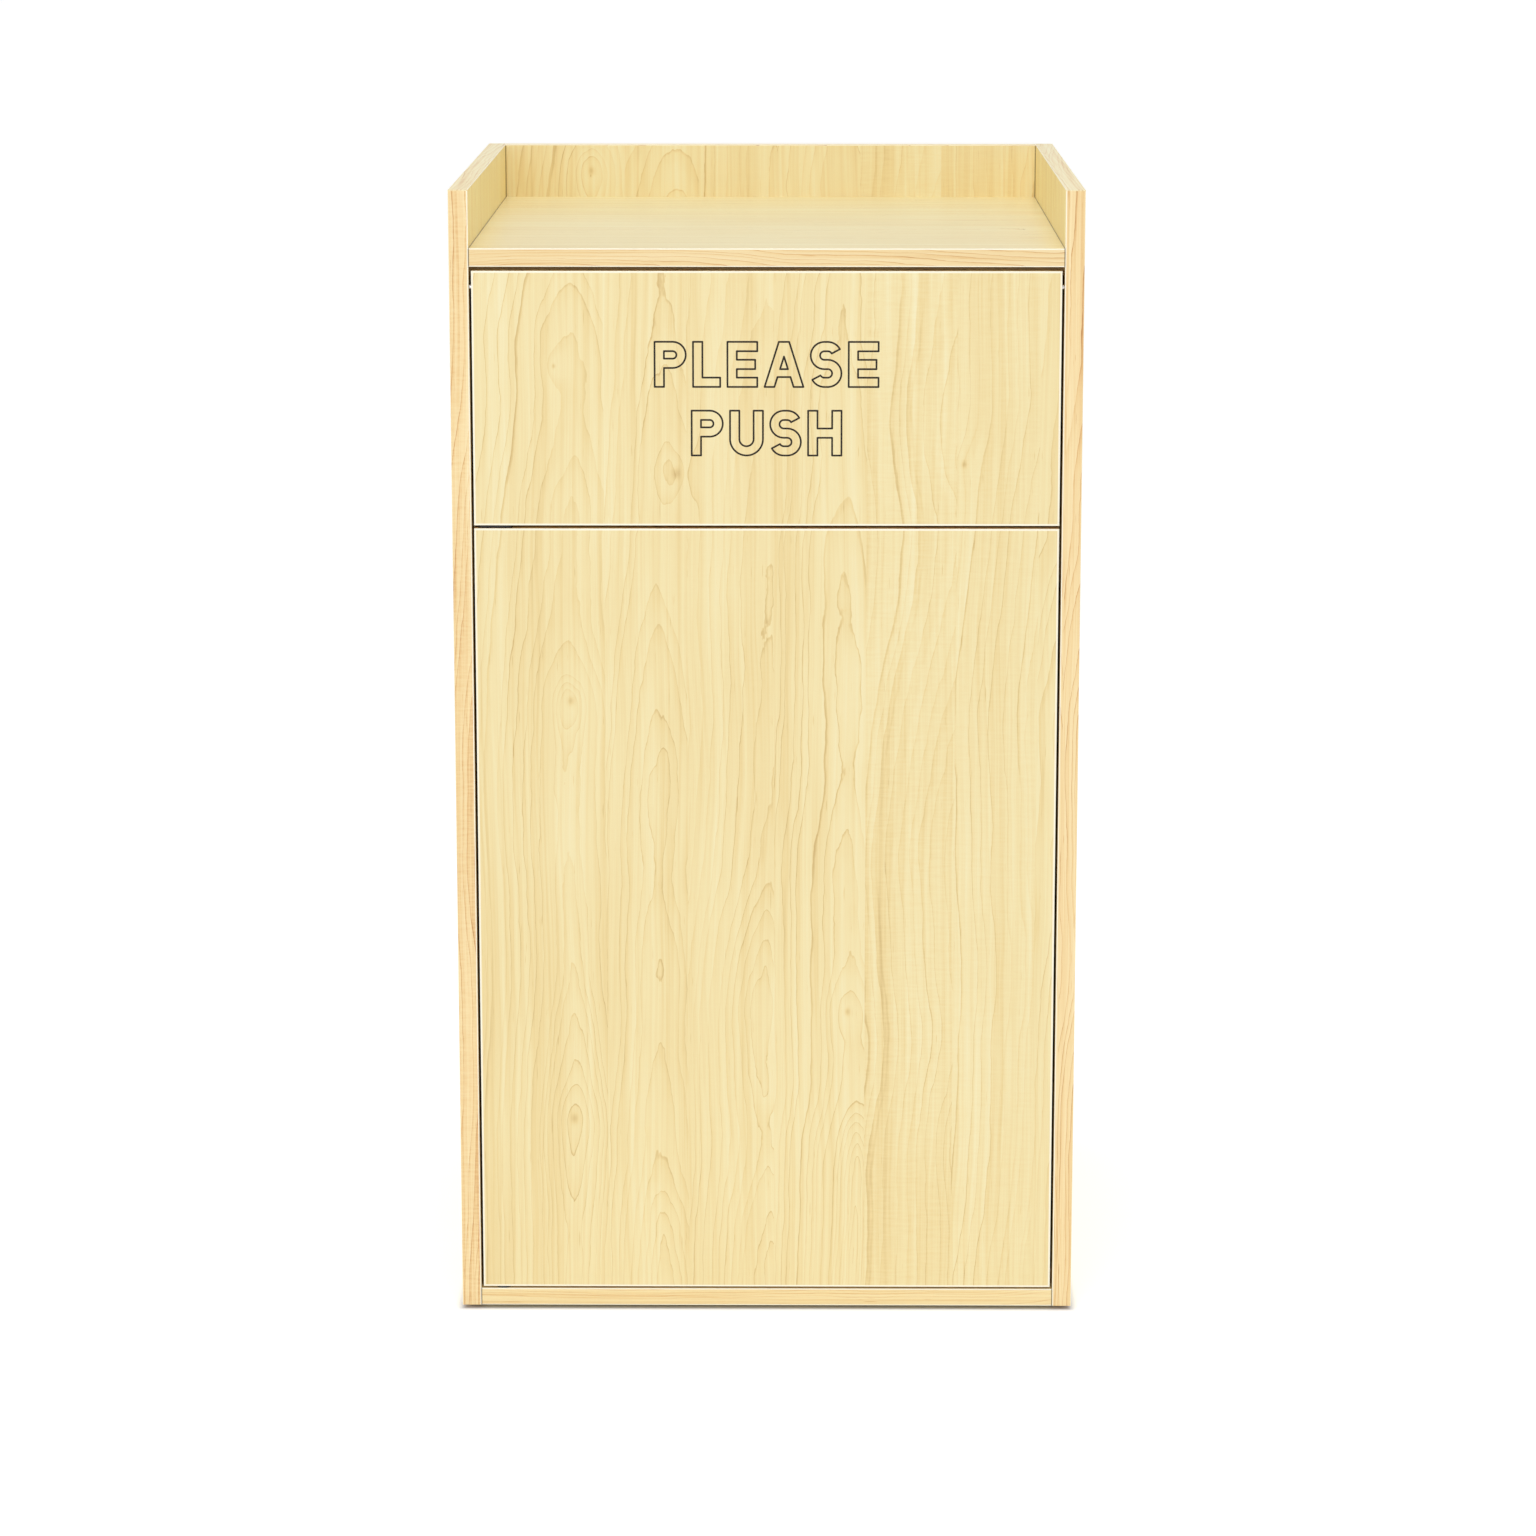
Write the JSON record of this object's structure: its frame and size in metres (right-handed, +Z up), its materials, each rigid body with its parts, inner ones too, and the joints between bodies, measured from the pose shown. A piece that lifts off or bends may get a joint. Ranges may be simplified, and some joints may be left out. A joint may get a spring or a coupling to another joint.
{
  "type": "drop box cabinet",
  "caption": "Laminate floor cabinet with an inward push flap over a hinged service door, a three-sided tray rim on top and a bin standing inside.",
  "frame": {"origin": "on the floor, under the middle of the cabinet's square plan", "axes": "+Z up; the flap and the door face -Y; +X is to the right of someone facing them"},
  "size_m": [0.61, 0.61, 1.118],
  "materials": {
    "side_laminate": "satin",
    "carcass_laminate": "satin",
    "tray_laminate": "satin",
    "back_laminate": "satin",
    "flap_laminate": "satin",
    "door_laminate": "satin",
    "edge_band": "satin",
    "bare_wood": "matt",
    "beech": "matt",
    "cast_zinc": "matt",
    "zinc_steel": "satin",
    "pin_steel": "polished",
    "black_steel": "satin",
    "bush_nylon": "satin",
    "black_nylon": "satin",
    "glide_nylon": "satin",
    "felt": "matt",
    "catch_plastic": "satin",
    "magnet": "matt",
    "bin_plastic": "satin"
  },
  "bodies": {
    "cabinet": {"left_side_panel": "side_laminate", "right_side_panel": "side_laminate", "bottom_panel": "carcass_laminate", "tray_top": "tray_laminate", "back_panel": "back_laminate", "cross_rail": "carcass_laminate", "left_front_band": "edge_band", "left_top_band": "edge_band", "right_front_band": "edge_band", "right_top_band": "edge_band", "back_top_band": "edge_band", "tray_front_band": "edge_band", "bottom_front_band": "edge_band", "cam_discs": "cast_zinc", "cam_bolts": "zinc_steel", "dowels": "beech", "glides": "glide_nylon", "flap_stop_strip": "bare_wood", "flap_stop_felts": "felt", "stop_strip_screws": "zinc_steel", "flap_pivot_pins": "pin_steel", "door_bottom_pin": "black_steel", "door_washer": "black_nylon", "door_pivot_plate": "black_steel", "door_top_pin": "black_steel", "pivot_plate_screws": "zinc_steel", "catch_body": "catch_plastic", "catch_magnet": "magnet", "catch_screws": "zinc_steel", "door_stop_block": "bare_wood", "stop_block_screw": "zinc_steel", "left_bin_guide": "bare_wood", "right_bin_guide": "bare_wood", "rear_bin_stop": "bare_wood", "guide_screws": "zinc_steel"},
    "push_flap": {"flap_panel": "flap_laminate", "flap_edge_bands": "edge_band", "flap_pivot_bushes": "bush_nylon"},
    "service_door": {"door_panel": "door_laminate", "door_edge_bands": "edge_band", "door_pivot_bushes": "black_nylon", "strike_plate": "zinc_steel", "strike_screws": "zinc_steel"},
    "bin": {"collection_bin": "bin_plastic"}
  },
  "joints": [
    {"name": "flap_swing", "type": "hinge", "parent": "cabinet", "child": "push_flap", "pos_m": [0, -0.2955, 1.0245], "axis": [1, 0, 0], "range_deg": [0, 88]},
    {"name": "door_swing", "type": "hinge", "parent": "cabinet", "child": "service_door", "pos_m": [-0.2635, -0.297, 0.4], "axis": [0, 0, -1], "range_deg": [0, 110]},
    {"name": "bin_lift", "type": "slide", "parent": "cabinet", "child": "bin", "axis": [0, 0, 1], "range_m": [0, 0.05]}
  ]
}
